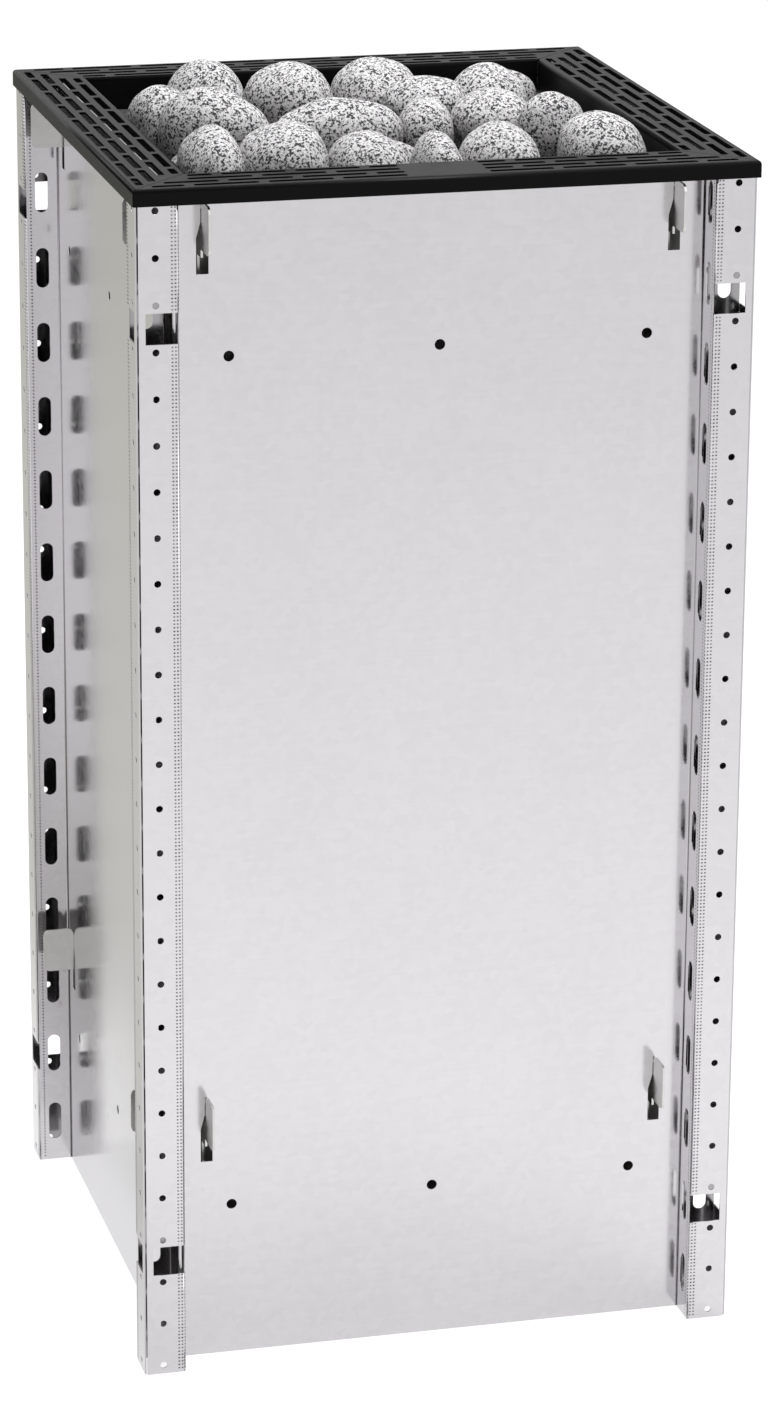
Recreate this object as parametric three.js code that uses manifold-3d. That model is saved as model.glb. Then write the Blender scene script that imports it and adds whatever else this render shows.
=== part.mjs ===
// Electric sauna stove: an open galvanised casing around a stone container, under a black slotted rim.
// Millimetres, +Z up. The origin is the middle of the footprint on the floor, and the front faces -Y.
// A piece of one side is drawn facing the front, where n is its distance out from the middle (-Y),
// u runs along it (+X) and z is its height. The other three sides are turned copies.

import * as THREE from "three";
import { mergeGeometries, mergeVertices } from "three/addons/utils/BufferGeometryUtils.js";
import Module from "manifold-3d";

const wasm = await Module();
wasm.setup();

// Overall
const rimSide = 407;
const rimTop = 800;
const seatGap = 0.3;

// Rim: four mitred bars, each a channel of top, outer lip and inner skirt, partly closed from below
const rimSheet = 1.5;
const rimBar = 43.5;
const lipHeight = 11;
const skirtDepth = 20;
const skirtClearance = 2;
const foldClearance = 0.6;
const rimSlotLength = 41.5;
const rimSlotWidth = 5;
const rimSlotPitch = 47.5;
const rimRows = 4;
const rimRowPitch = 9.5;
const firstRimRow = 7.5;
const rimSlotEdge = 3.5;
const shortestRimSlot = 8;
const frontLand = 52;

// Casing sheets: flat panel, two slotted webs, two corner flanges
const casingSheet = 1;
const recessDepth = 23.5;
const cornerSlit = 2;
const foldGap = 2;
const flangeHole = 4.6;
const flangeHoleInset = 12.5;
const flangeHolePitch = 30;
const firstFlangeHole = 6;
const windowHeight = 20;
const windowInset = 6;
const windowPlace = 2.5;
const webSlotLength = 28;
const webSlotWidth = 9;
const webSlotPitch = 53;
const firstWebSlot = 30;
const panelHole = 7;
const panelHoleSpread = 137.5;
const panelHoleLow = 107;
const panelHoleDrop = 112.7;

// Keyholes in the panels, and the hook tabs of the container that pass through them
const hookInset = 19.9;
const keyholeFoot = 139;
const keyholeDrop = 59.2;
const keyholeWidth = 8;
const keyholeStraight = 23;
const keyholeTaper = 10.5;
const keyholeSlit = 8.3;
const slitClearance = 0.35;
const tabStart = 15.5;
const tabReach = 22;
const tabCorner = 4;
const tabNotch = 5.2;
const tabNeck = 5.2;
const keyholeRoomDrop = 4;

// Stone container and what it holds
const wallSheet = 1.5;
const stoneDepth = 96;
const grateThickness = 4;
const grateSlots = 11;
const grateSlotWidth = 14;
const grateMargin = 14;
const railLeg = 20;
const railSheet = 2;
const railEndGap = 4;

// Heating elements and the plates that hold them
const elementCount = 6;
const elementPitch = 44;
const elementTube = 8.5;
const elementSpan = 100;
const elementHeadroom = 15;
const elementTail = 25;
const plateSheet = 2;
const plateLip = 15;
const elementPlateHeight = 230;
const spacerDrop = 110;
const airSlotWidth = 20;
const airSlotLength = 220;
const baseSlots = 3;

// Base pan, terminal box and cable entry
const basePanHeight = 60;
const basePanLip = 20;
const boxWidth = 130;
const boxDepth = 80;
const boxHeight = 55;
const boxSheet = 1.2;
const boxBackGap = 35.05;
const coverLip = 12;
const wireHole = 18;
const wireHolePlace = 32.5;
const blockLength = 90;
const blockDepth = 24;
const blockHeight = 22;
const blockPoles = 5;
const blockGroove = 3;
const glandThread = 20;
const glandCollar = 28;
const glandCollarHeight = 12;
const glandNutHeight = 5;
const glandBore = 12;

// Stones
const lowerStoneRows = 3;
const lowerStoneGap = 5;
const lowerStoneFlat = 6;
const lowerStoneHeight = 62;
const lowerStoneTaper = 0.06;
const crosswise = 90;
const topStoneHeight = 60;
const stoneRoom = 20;
const settleStep = 4;
const settleRounds = 7;

// How far a cutter reaches past the sheet it cuts, the distance under which corners are one corner,
// and the grid points per millimetre that keep flush faces flush
const cutOver = 1;
const weldDistance = 0.0001;
const weldGrid = 1024;

// Facets of small round shapes
const holeSides = 6;
const tubeSides = 6;
const hairpinSteps = 8;
const glandSides = 12;
const stoneSides = 8;
const stoneRings = 5;

// Places that follow from the driving dimensions
const rimHalf = rimSide / 2;
const rimOpening = rimHalf - rimBar;
const casingHalf = rimHalf - rimSheet - seatGap;
const casingTop = rimTop - rimSheet - seatGap;
const panelFace = casingHalf - recessDepth;
const panelBack = panelFace - casingSheet;
const webFar = panelBack - foldGap;
const webNear = webFar - casingSheet;
const hookSpread = webNear - hookInset;
const wallInner = hookSpread + wallSheet / 2 + seatGap;
const wallOuter = wallInner + wallSheet;
const wallTop = rimTop - skirtDepth - skirtClearance;
const innerHalf = wallInner - seatGap;
const grateTop = rimTop - stoneDepth;
const grateLow = grateTop - grateThickness;
const elementTop = grateLow - elementHeadroom - elementTube / 2;
const elementBend = elementTop - elementSpan / 2;
const keyholeFeet = [keyholeFoot, casingTop - keyholeDrop];
const keyholeHeight = keyholeStraight + keyholeTaper + keyholeSlit;
const tabRise = keyholeHeight - seatGap + tabNotch;
const boxFloor = basePanHeight + plateSheet + seatGap;
const boxPlace = innerHalf - boxBackGap - boxDepth / 2;

// Outlines, as lists of points
function rectangle(left, low, right, high) {
  return [[left, low], [right, low], [right, high], [left, high]];
}

function ring(across, up, radius, sides) {
  const points = [];
  for (let i = 0; i < sides; i += 1) {
    const angle = (2 * Math.PI * (i + 0.5)) / sides;
    points.push([across + radius * Math.cos(angle), up + radius * Math.sin(angle)]);
  }
  return points;
}

// A hole around a faceted rod, wide enough at the middle of its flats
function ringAround(across, up, radius, sides) {
  return ring(across, up, (radius + seatGap) / Math.cos(Math.PI / sides), sides);
}

// A right-angled corner drawn round with two edges, from one unit direction to the other
function roundCorner(across, up, from, to, radius) {
  const middle = radius * (1 - Math.SQRT1_2);
  return [
    [across + radius * from[0], up + radius * from[1]],
    [across + middle * (from[0] + to[0]), up + middle * (from[1] + to[1])],
    [across + radius * to[0], up + radius * to[1]],
  ];
}

// An upright slot whose ends are drawn with two edges each
function uprightSlot(across, up, length, width) {
  const half = width / 2;
  const straight = (length - width) / 2;
  const tip = length / 2;
  return [
    [across - half, up - straight],
    [across, up - tip],
    [across + half, up - straight],
    [across + half, up + straight],
    [across, up + tip],
    [across - half, up + straight],
  ];
}

function toVectors(points) {
  return points.map(([x, y]) => new THREE.Vector2(x, y));
}

// Closed bodies
function prism(outline, low, high) {
  const shape = new THREE.Shape(toVectors(outline));
  const geometry = new THREE.ExtrudeGeometry(shape, { depth: high - low, bevelEnabled: false });
  return geometry.translate(0, 0, low);
}

function toSolid(geometry) {
  const bare = new THREE.BufferGeometry();
  bare.setAttribute("position", geometry.getAttribute("position").clone());
  bare.setIndex(geometry.index);
  const merged = mergeVertices(bare, weldDistance);
  const onGrid = (value) => Math.round(value * weldGrid) / weldGrid;
  const vertProperties = merged.attributes.position.array.map(onGrid);
  const triVerts = new Uint32Array(merged.index.array);
  return new wasm.Manifold(new wasm.Mesh({ numProp: 3, vertProperties, triVerts }));
}

function toGeometry(solid) {
  const mesh = solid.getMesh();
  const geometry = new THREE.BufferGeometry();
  geometry.setAttribute("position", new THREE.BufferAttribute(mesh.vertProperties, mesh.numProp));
  geometry.setIndex(new THREE.BufferAttribute(mesh.triVerts, 1));
  geometry.computeVertexNormals();
  return geometry;
}

function sheetGeometry(outline, holes, thickness) {
  const sheet = prism(outline, 0, thickness);
  if (holes.length === 0) {
    return sheet;
  }
  const cutters = holes.map((points) => prism(points, -cutOver, thickness + cutOver));
  return toGeometry(toSolid(sheet).subtract(toSolid(mergeGeometries(cutters))));
}

function join(geometries) {
  const solids = geometries.map(toSolid);
  return toGeometry(solids.reduce((whole, solid) => whole.add(solid)));
}

// A sheet seen from the front: outline in u and z, thickness from n = near outwards
function facingSheet(outline, holes, near, thickness) {
  const basis = new THREE.Matrix4().makeBasis(
    new THREE.Vector3(1, 0, 0),
    new THREE.Vector3(0, 0, 1),
    new THREE.Vector3(0, -1, 0),
  );
  basis.setPosition(0, -near, 0);
  return sheetGeometry(outline, holes, thickness).applyMatrix4(basis);
}

// A sheet seen from the side: outline in n and z, thickness from u = left to the right
function sidewaysSheet(outline, holes, left, thickness) {
  const basis = new THREE.Matrix4().makeBasis(
    new THREE.Vector3(0, -1, 0),
    new THREE.Vector3(0, 0, 1),
    new THREE.Vector3(-1, 0, 0),
  );
  basis.setPosition(left + thickness, 0, 0);
  return sheetGeometry(outline, holes, thickness).applyMatrix4(basis);
}

// A level sheet: outline in X and Y, thickness from z = low upwards
function levelSheet(outline, holes, low, thickness) {
  return sheetGeometry(outline, holes, thickness).translate(0, 0, low);
}

// A level plate with a lip turned down, or up, all round its edge
function pan(halfX, halfY, low, sheet, holes, lipLow, lipHigh) {
  const outline = rectangle(-halfX, -halfY, halfX, halfY);
  const inside = rectangle(-halfX + sheet, -halfY + sheet, halfX - sheet, halfY - sheet);
  return join([
    levelSheet(outline, holes, low, sheet),
    levelSheet(outline, [inside], lipLow, lipHigh - lipLow),
  ]);
}

// Casing sheet, drawn for the front
function flangeHoleHeights() {
  const copies = Math.floor((casingTop - 2 * firstFlangeHole) / flangeHolePitch) + 1;
  return Array.from({ length: copies }, (_, i) => firstFlangeHole + i * flangeHolePitch);
}

function webSlotHeights() {
  const room = casingTop - firstWebSlot - webSlotLength / 2;
  const copies = Math.floor(room / webSlotPitch) + 1;
  return Array.from({ length: copies }, (_, i) => firstWebSlot + i * webSlotPitch);
}

function keyhole(across, foot) {
  const half = keyholeWidth / 2;
  const slit = wallSheet / 2 + slitClearance;
  const straight = foot + keyholeStraight;
  const taper = straight + keyholeTaper;
  const top = foot + keyholeHeight;
  return [
    [across - half, foot],
    [across + half, foot],
    [across + half, straight],
    [across + slit, taper],
    [across + slit, top],
    [across - slit, top],
    [across - slit, taper],
    [across - half, straight],
  ];
}

function panelSheet() {
  const holes = [];
  for (const height of [panelHoleLow, casingTop - panelHoleDrop]) {
    for (const across of [-panelHoleSpread, 0, panelHoleSpread]) {
      holes.push(ring(across, height, panelHole / 2, holeSides));
    }
  }
  for (const foot of keyholeFeet) {
    holes.push(keyhole(-hookSpread, foot), keyhole(hookSpread, foot));
  }
  return facingSheet(rectangle(-webFar, 0, webFar, casingTop), holes, panelBack, casingSheet);
}

function webSheet(left) {
  const middle = panelFace + recessDepth / 2;
  const slots = webSlotHeights().map((z) => uprightSlot(middle, z, webSlotLength, webSlotWidth));
  return sidewaysSheet(rectangle(panelBack, 0, casingHalf, casingTop), slots, left, casingSheet);
}

function flangeSheet(hand) {
  const heights = flangeHoleHeights();
  const row = casingHalf - flangeHoleInset;
  const holes = heights.map((z) => ring(hand * row, z, flangeHole / 2, holeSides));
  const lowWindow = firstFlangeHole + windowPlace * flangeHolePitch;
  const highWindow = heights[heights.length - 1] - windowPlace * flangeHolePitch;
  const windowEdges = [hand * webFar, hand * (casingHalf - windowInset)].sort((a, b) => a - b);
  for (const middle of [lowWindow, highWindow]) {
    const low = middle - windowHeight / 2;
    holes.push(rectangle(windowEdges[0], low, windowEdges[1], low + windowHeight));
  }
  const edges = [hand * webNear, hand * (casingHalf - cornerSlit)].sort((a, b) => a - b);
  const outline = rectangle(edges[0], 0, edges[1], casingTop);
  return facingSheet(outline, holes, casingHalf - casingSheet, casingSheet);
}

function casingSide() {
  return join([panelSheet(), webSheet(-webFar), webSheet(webNear), flangeSheet(-1), flangeSheet(1)]);
}

// Container wall, drawn for the front: a flat wall whose edges turn outwards as spacers with hook tabs
function tabOutline(foot) {
  const low = foot + tabStart;
  const high = foot + tabRise;
  const end = panelFace + tabReach;
  const past = panelFace + seatGap;
  return [
    ...roundCorner(end, low, [-1, 0], [0, 1], tabCorner),
    ...roundCorner(end, high, [0, -1], [-1, 0], tabCorner),
    ...roundCorner(past, high, [1, 0], [0, -1], tabCorner),
    [past, high - tabNotch],
  ];
}

// Below its tab the spacer steps back, so that the foot of the keyhole stays open
function keyholeRoom(foot, edge) {
  const back = (edge + wallOuter) / 2;
  const low = foot - keyholeRoomDrop;
  const high = foot + tabStart - tabNeck;
  return [[edge, low], [back, low], [back, high], [edge, high], [edge, foot + tabStart]];
}

function spacerOutline() {
  const edge = panelBack - seatGap;
  const step = Math.max(wallOuter, rimOpening + rimSheet + skirtClearance);
  const [lowFoot, highFoot] = keyholeFeet;
  const lowTop = lowFoot + tabRise;
  const highTop = highFoot + tabRise;
  return [
    [wallInner, 0],
    [edge, 0],
    ...keyholeRoom(lowFoot, edge),
    ...tabOutline(lowFoot),
    [edge, lowTop - tabNotch],
    ...keyholeRoom(highFoot, edge),
    ...tabOutline(highFoot),
    [edge, highTop - tabNotch],
    [edge, highTop],
    [step, highTop],
    [step, wallTop],
    [wallInner, wallTop],
  ];
}

function containerWall() {
  const reach = hookSpread + wallSheet / 2;
  return join([
    facingSheet(rectangle(-reach, 0, reach, wallTop), [], wallInner, wallSheet),
    sidewaysSheet(spacerOutline(), [], -reach, wallSheet),
    sidewaysSheet(spacerOutline(), [], reach - wallSheet, wallSheet),
  ]);
}

// Rim bar, drawn for the front. The land is the stretch in its middle that stays unslotted.
function mitredStrip(near, far, low, high, holes) {
  const back = seatGap / Math.SQRT2;
  const outline = [
    [-(far - back), -far],
    [far - back, -far],
    [near - back, -near],
    [-(near - back), -near],
  ];
  return levelSheet(outline, holes, low, high - low);
}

// Slots of one row, in a brick bond: every second row is moved by half a pitch
function rimRowSlots(row, land) {
  const middle = rimHalf - firstRimRow - row * rimRowPitch;
  const near = middle - rimSlotWidth / 2;
  const limit = near - rimSlotEdge;
  const shift = row % 2 === 0 ? 0 : rimSlotPitch / 2;
  const slots = [];
  for (let centre = shift; centre - rimSlotLength / 2 < limit; centre += rimSlotPitch) {
    const start = Math.max(centre - rimSlotLength / 2, land / 2);
    const end = Math.min(centre + rimSlotLength / 2, limit);
    const crossesMiddle = centre === 0;
    if (crossesMiddle && land === 0) {
      slots.push(rectangle(-end, -(near + rimSlotWidth), end, -near));
    } else if (!crossesMiddle && end - start >= shortestRimSlot) {
      slots.push(rectangle(start, -(near + rimSlotWidth), end, -near));
      slots.push(rectangle(-end, -(near + rimSlotWidth), -start, -near));
    }
  }
  return slots;
}

// The lip is turned in under the slots between the posts, as a cover over the recess
function lipReturn() {
  const reach = webNear - foldClearance;
  const outline = rectangle(-reach, -rimHalf, reach, -(panelFace + foldClearance));
  return levelSheet(outline, [], rimTop - lipHeight, rimSheet);
}

// A ledge on the skirt covers the gap behind the panel, above the hook tabs
function skirtLedge() {
  const low = keyholeFeet[1] + tabRise + skirtClearance;
  return mitredStrip(rimOpening, panelBack - foldClearance, low, low + rimSheet, []);
}

function rimBarSide(land) {
  const slots = [];
  for (let row = 0; row < rimRows; row += 1) {
    slots.push(...rimRowSlots(row, land));
  }
  return join([
    mitredStrip(rimOpening, rimHalf, rimTop - rimSheet, rimTop, slots),
    mitredStrip(rimHalf - rimSheet, rimHalf, rimTop - lipHeight, rimTop, []),
    mitredStrip(rimOpening, rimOpening + rimSheet, rimTop - skirtDepth, rimTop, []),
    lipReturn(),
    skirtLedge(),
  ]);
}

// Grate and the two angle rails under its edges
function stoneGrate() {
  const slots = [];
  const reach = innerHalf - grateMargin;
  const pitch = (2 * reach - grateSlotWidth) / (grateSlots - 1);
  for (let i = 0; i < grateSlots; i += 1) {
    const left = -reach + i * pitch;
    slots.push(rectangle(left, -reach, left + grateSlotWidth, reach));
  }
  const outline = rectangle(-innerHalf, -innerHalf, innerHalf, innerHalf);
  return levelSheet(outline, slots, grateLow, grateThickness);
}

function grateRail() {
  const top = grateLow - seatGap;
  const legs = [
    [innerHalf - railLeg, top - railSheet],
    [innerHalf - railSheet, top - railSheet],
    [innerHalf - railSheet, top - railLeg],
    [innerHalf, top - railLeg],
    [innerHalf, top],
    [innerHalf - railLeg, top],
  ];
  const reach = innerHalf - railEndGap;
  return sidewaysSheet(legs, [], -reach, 2 * reach);
}

// Heating elements: hairpins of round tube standing on the element plate
class HairpinCurve extends THREE.Curve {
  constructor(low, bend, radius) {
    super();
    this.low = low;
    this.bend = bend;
    this.radius = radius;
  }

  angleAt(share) {
    const step = share * hairpinSteps;
    return (Math.PI * THREE.MathUtils.clamp(step - 1, 0, hairpinSteps - 2)) / (hairpinSteps - 2);
  }

  getPoint(share) {
    const step = share * hairpinSteps;
    const legShare = Math.min(step, hairpinSteps - step, 1);
    const angle = this.angleAt(share);
    const legHeight = this.low + (this.bend - this.low) * legShare;
    return new THREE.Vector3(0, -this.radius * Math.cos(angle), legHeight + this.radius * Math.sin(angle));
  }

  getPointAt(share) {
    return this.getPoint(share);
  }

  getTangentAt(share) {
    const angle = this.angleAt(share);
    return new THREE.Vector3(0, Math.sin(angle), Math.cos(angle));
  }
}

function elementPlaces() {
  const first = (-(elementCount - 1) * elementPitch) / 2;
  return Array.from({ length: elementCount }, (_, i) => first + i * elementPitch);
}

function heatingElement() {
  const section = new THREE.Shape(toVectors(ring(0, 0, elementTube / 2, tubeSides)));
  const path = new HairpinCurve(elementPlateHeight - elementTail, elementBend, elementSpan / 2);
  return new THREE.ExtrudeGeometry(section, { steps: hairpinSteps, extrudePath: path, bevelEnabled: false });
}

function elementHoles() {
  const holes = [];
  for (const place of elementPlaces()) {
    holes.push(ringAround(place, -elementSpan / 2, elementTube / 2, tubeSides));
    holes.push(ringAround(place, elementSpan / 2, elementTube / 2, tubeSides));
  }
  for (const place of elementPlaces().slice(1)) {
    const middle = place - elementPitch / 2;
    const half = airSlotWidth / 2;
    holes.push(rectangle(middle - half, -airSlotLength / 2, middle + half, airSlotLength / 2));
  }
  return holes;
}

function elementPlate(height) {
  const low = height - plateLip;
  return pan(innerHalf, innerHalf, height, plateSheet, elementHoles(), low, height + plateSheet);
}

// Base pan, with air slots in front of the terminal box
function basePan() {
  const half = airSlotLength / 2;
  const holes = [ringAround(0, boxPlace, glandThread / 2, glandSides)];
  for (let i = 0; i < baseSlots; i += 1) {
    const high = boxPlace - boxDepth - 2 * i * airSlotWidth;
    holes.push(rectangle(-half, high - airSlotWidth, half, high));
  }
  const low = basePanHeight - basePanLip;
  return pan(innerHalf, innerHalf, basePanHeight, plateSheet, holes, low, basePanHeight + plateSheet);
}

// Terminal box with its block and cover
function terminalBox() {
  const hole = ringAround(0, 0, glandThread / 2, glandSides);
  const box = pan(boxWidth / 2, boxDepth / 2, boxFloor, boxSheet, [hole], boxFloor, boxFloor + boxHeight);
  return box.translate(0, boxPlace, 0);
}

function terminalCover() {
  const top = boxFloor + boxHeight + seatGap;
  const halfX = boxWidth / 2 + seatGap + boxSheet;
  const halfY = boxDepth / 2 + seatGap + boxSheet;
  const hole = ring(wireHolePlace, 0, wireHole / 2, glandSides);
  return pan(halfX, halfY, top, boxSheet, [hole], top - coverLip, top + boxSheet).translate(0, boxPlace, 0);
}

function terminalBlock() {
  const low = boxFloor + boxSheet + seatGap;
  const high = low + blockHeight;
  const pitch = blockLength / blockPoles;
  const outline = [[-blockLength / 2, low], [blockLength / 2, low], [blockLength / 2, high]];
  for (let i = blockPoles - 1; i > 0; i -= 1) {
    const groove = -blockLength / 2 + i * pitch;
    outline.push([groove + blockGroove / 2, high], [groove + blockGroove / 2, high - blockGroove]);
    outline.push([groove - blockGroove / 2, high - blockGroove], [groove - blockGroove / 2, high]);
  }
  outline.push([-blockLength / 2, high]);
  const backWall = boxPlace + boxDepth / 2 - boxSheet;
  return facingSheet(outline, [], -(backWall - seatGap), blockDepth);
}

// Cable gland through the base pan and the box floor, and the nut that holds both
function turned(profile) {
  const points = toVectors([...profile, profile[0]]);
  const geometry = new THREE.LatheGeometry(points, glandSides, Math.PI / glandSides);
  return geometry.rotateX(Math.PI / 2).translate(0, boxPlace, 0);
}

function cableGland() {
  const seat = basePanHeight - seatGap;
  const top = boxFloor + boxSheet + seatGap + glandNutHeight + seatGap;
  return turned([
    [glandBore / 2, seat - glandCollarHeight],
    [glandCollar / 2, seat - glandCollarHeight],
    [glandCollar / 2, seat],
    [glandThread / 2, seat],
    [glandThread / 2, top],
    [glandBore / 2, top],
  ]);
}

function glandNut() {
  const low = boxFloor + boxSheet + seatGap;
  const inside = (glandThread / 2 + seatGap) / Math.cos(Math.PI / glandSides);
  return turned([
    [inside, low],
    [glandCollar / 2, low],
    [glandCollar / 2, low + glandNutHeight],
    [inside, low + glandNutHeight],
  ]);
}

// Stones: rounded pebbles, thicker at one end, laid one after the other on what is already there
function pebble(half, taper, turn, tilt) {
  const geometry = new THREE.SphereGeometry(1, stoneSides, stoneRings).rotateZ(Math.PI / 2);
  const position = geometry.attributes.position;
  for (let i = 0; i < position.count; i += 1) {
    const swell = 1 + taper * position.getX(i);
    position.setY(i, position.getY(i) * swell);
    position.setZ(i, position.getZ(i) * swell);
  }
  geometry.scale(...half);
  geometry.rotateY(THREE.MathUtils.degToRad(tilt));
  return geometry.rotateZ(THREE.MathUtils.degToRad(turn));
}

function boxesMeet(a, b) {
  return a.min.every((low, i) => low < b.max[i] && b.min[i] < a.max[i]);
}

function meets(geometry, placed) {
  const solid = toSolid(geometry);
  const box = solid.boundingBox();
  return placed.some((other) => boxesMeet(box, other.box) && !solid.intersect(other.solid).isEmpty());
}

// Lower a stone until it meets something, then lift it by the seat gap
function settle(geometry, placed) {
  const lifted = (height) => geometry.clone().translate(0, 0, height);
  let free = rimTop + stoneRoom;
  while (!meets(lifted(free - settleStep), placed)) {
    free -= settleStep;
  }
  let blocked = free - settleStep;
  for (let i = 0; i < settleRounds; i += 1) {
    const middle = (free + blocked) / 2;
    if (meets(lifted(middle), placed)) {
      blocked = middle;
    } else {
      free = middle;
    }
  }
  const rested = lifted(free + seatGap);
  const solid = toSolid(rested);
  placed.push({ solid, box: solid.boundingBox() });
  return rested;
}

// The stones of the top layer in the order they are laid. Place and half sizes in plan are shares of the
// bed's half side, and tall is a share of the usual height.
const topStones = [
  { at: [-0.858, -0.335], half: [0.135, 0.168], tall: 1, taper: 0.1, turn: 20, tilt: 0 },
  { at: [0.239, 0.013], half: [0.206, 0.129], tall: 0.933, taper: 0.1, turn: 80, tilt: 0 },
  { at: [0.794, 0.852], half: [0.174, 0.129], tall: 0.733, taper: 0.1, turn: 0, tilt: 0 },
  { at: [0.09, -0.748], half: [0.219, 0.11], tall: 0.867, taper: 0.1, turn: 90, tilt: 0 },
  { at: [0.852, 0.129], half: [0.135, 0.219], tall: 0.8, taper: 0.1, turn: 0, tilt: 0 },
  { at: [-0.297, 0.323], half: [0.213, 0.194], tall: 0.867, taper: 0.1, turn: 30, tilt: 0 },
  { at: [-0.039, -0.4], half: [0.181, 0.116], tall: 0.733, taper: 0.1, turn: 0, tilt: 0 },
  { at: [-0.832, 0.361], half: [0.161, 0.219], tall: 1.2, taper: -0.1, turn: 10, tilt: 0 },
  { at: [-0.568, 0.735], half: [0.168, 0.245], tall: 0.967, taper: 0.1, turn: 6, tilt: 0 },
  { at: [-0.2, 0.71], half: [0.194, 0.271], tall: 1, taper: 0.1, turn: 0, tilt: 0 },
  { at: [0.2, 0.723], half: [0.2, 0.258], tall: 0.983, taper: -0.1, turn: 0, tilt: 0 },
  { at: [0.658, 0.529], half: [0.174, 0.219], tall: 0.933, taper: 0.1, turn: 8, tilt: 0 },
  { at: [-0.69, -0.013], half: [0.245, 0.194], tall: 1, taper: -0.1, turn: -12, tilt: 6 },
  { at: [-0.168, -0.065], half: [0.284, 0.181], tall: 0.9, taper: 0.08, turn: -6, tilt: 0 },
  { at: [0.529, -0.026], half: [0.181, 0.219], tall: 0.733, taper: 0.1, turn: 20, tilt: 0 },
  { at: [0.323, 0.348], half: [0.187, 0.168], tall: 0.667, taper: 0.1, turn: 0, tilt: 0 },
  { at: [-0.865, -0.71], half: [0.129, 0.271], tall: 1.033, taper: 0.1, turn: 0, tilt: 0 },
  { at: [-0.548, -0.671], half: [0.187, 0.271], tall: 0.933, taper: 0.1, turn: 0, tilt: 0 },
  { at: [-0.194, -0.71], half: [0.168, 0.258], tall: 0.967, taper: -0.1, turn: 0, tilt: 0 },
  { at: [0.374, -0.684], half: [0.168, 0.271], tall: 1, taper: 0.1, turn: 0, tilt: 0 },
  { at: [0.684, -0.335], half: [0.129, 0.142], tall: 0.833, taper: 0.1, turn: 0, tilt: 0 },
  { at: [0.806, -0.723], half: [0.181, 0.245], tall: 0.933, taper: -0.1, turn: 0, tilt: 0 },
];

// Materials
function metal(color, roughness) {
  return new THREE.MeshStandardMaterial({ color, roughness, metalness: 1, flatShading: true });
}

function dull(color, roughness) {
  return new THREE.MeshStandardMaterial({ color, roughness, metalness: 0, flatShading: true });
}

// Assembly
const stove = new THREE.Group();

function addPart(parent, name, geometry, material) {
  const mesh = new THREE.Mesh(geometry, material);
  mesh.name = name;
  parent.add(mesh);
  return mesh;
}

const sides = [
  { name: "front", quarterTurns: 0, land: frontLand },
  { name: "right", quarterTurns: 1, land: 0 },
  { name: "back", quarterTurns: 2, land: 0 },
  { name: "left", quarterTurns: 3, land: 0 },
];

for (const side of sides) {
  const group = new THREE.Group();
  group.rotation.z = (side.quarterTurns * Math.PI) / 2;
  addPart(group, `${side.name}_casing`, casingSide(), metal(0xd3d2d5, 0.35));
  addPart(group, `${side.name}_container_wall`, containerWall(), metal(0x9a9a98, 0.5));
  addPart(group, `${side.name}_rim`, rimBarSide(side.land), dull(0x2a2a2c, 0.6));
  stove.add(group);
}

const grate = addPart(stove, "stone_grate", stoneGrate(), metal(0x55555a, 0.6));

for (const hand of [{ name: "front", turn: 0 }, { name: "back", turn: Math.PI }]) {
  const rail = addPart(stove, `${hand.name}_grate_rail`, grateRail(), metal(0x9a9a98, 0.5));
  rail.rotation.z = hand.turn;
}

elementPlaces().forEach((place, i) => {
  const element = addPart(stove, `heating_element_${i + 1}`, heatingElement(), metal(0x6d675f, 0.5));
  element.position.x = place;
});
addPart(stove, "element_plate", elementPlate(elementPlateHeight), metal(0xb4b4b6, 0.4));
addPart(stove, "element_spacer", elementPlate(elementBend - spacerDrop), metal(0xb4b4b6, 0.4));

addPart(stove, "base_pan", basePan(), metal(0xc4c4c6, 0.4));
addPart(stove, "terminal_box", terminalBox(), metal(0xc4c4c6, 0.4));
addPart(stove, "terminal_cover", terminalCover(), metal(0xc4c4c6, 0.4));
addPart(stove, "terminal_block", terminalBlock(), dull(0xe2dccb, 0.5));
addPart(stove, "cable_gland", cableGland(), dull(0x1c1c1e, 0.5));
addPart(stove, "gland_nut", glandNut(), dull(0x1c1c1e, 0.5));

const grateSolid = toSolid(grate.geometry);
const placed = [{ solid: grateSolid, box: grateSolid.boundingBox() }];
const bedHalf = Math.min(innerHalf, rimOpening - skirtClearance);
const lowerPitch = (2 * bedHalf) / lowerStoneRows;
const lowerLong = (lowerPitch - lowerStoneGap) / 2;
const lowerStoneHalf = [lowerLong, lowerLong - lowerStoneFlat / 2, lowerStoneHeight / 2];
for (let i = 0; i < lowerStoneRows * lowerStoneRows; i += 1) {
  const column = (i % lowerStoneRows) - (lowerStoneRows - 1) / 2;
  const row = Math.floor(i / lowerStoneRows) - (lowerStoneRows - 1) / 2;
  const shape = pebble(lowerStoneHalf, lowerStoneTaper, crosswise * (i % 2), 0);
  shape.translate(column * lowerPitch, row * lowerPitch, 0);
  addPart(stove, `lower_stone_${i + 1}`, settle(shape, placed), dull(0xb9b8b5, 0.85));
}

topStones.forEach((stone, i) => {
  const [long, wide] = stone.half.map((share) => share * bedHalf);
  const high = (stone.tall * topStoneHeight) / 2;
  const shape = pebble([long, wide, high], stone.taper, stone.turn, stone.tilt);
  shape.translate(stone.at[0] * bedHalf, stone.at[1] * bedHalf, 0);
  const name = `top_stone_${String(i + 1).padStart(2, "0")}`;
  addPart(stove, name, settle(shape, placed), dull(0xc9c8c5, 0.85));
});

export default stove;
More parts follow.
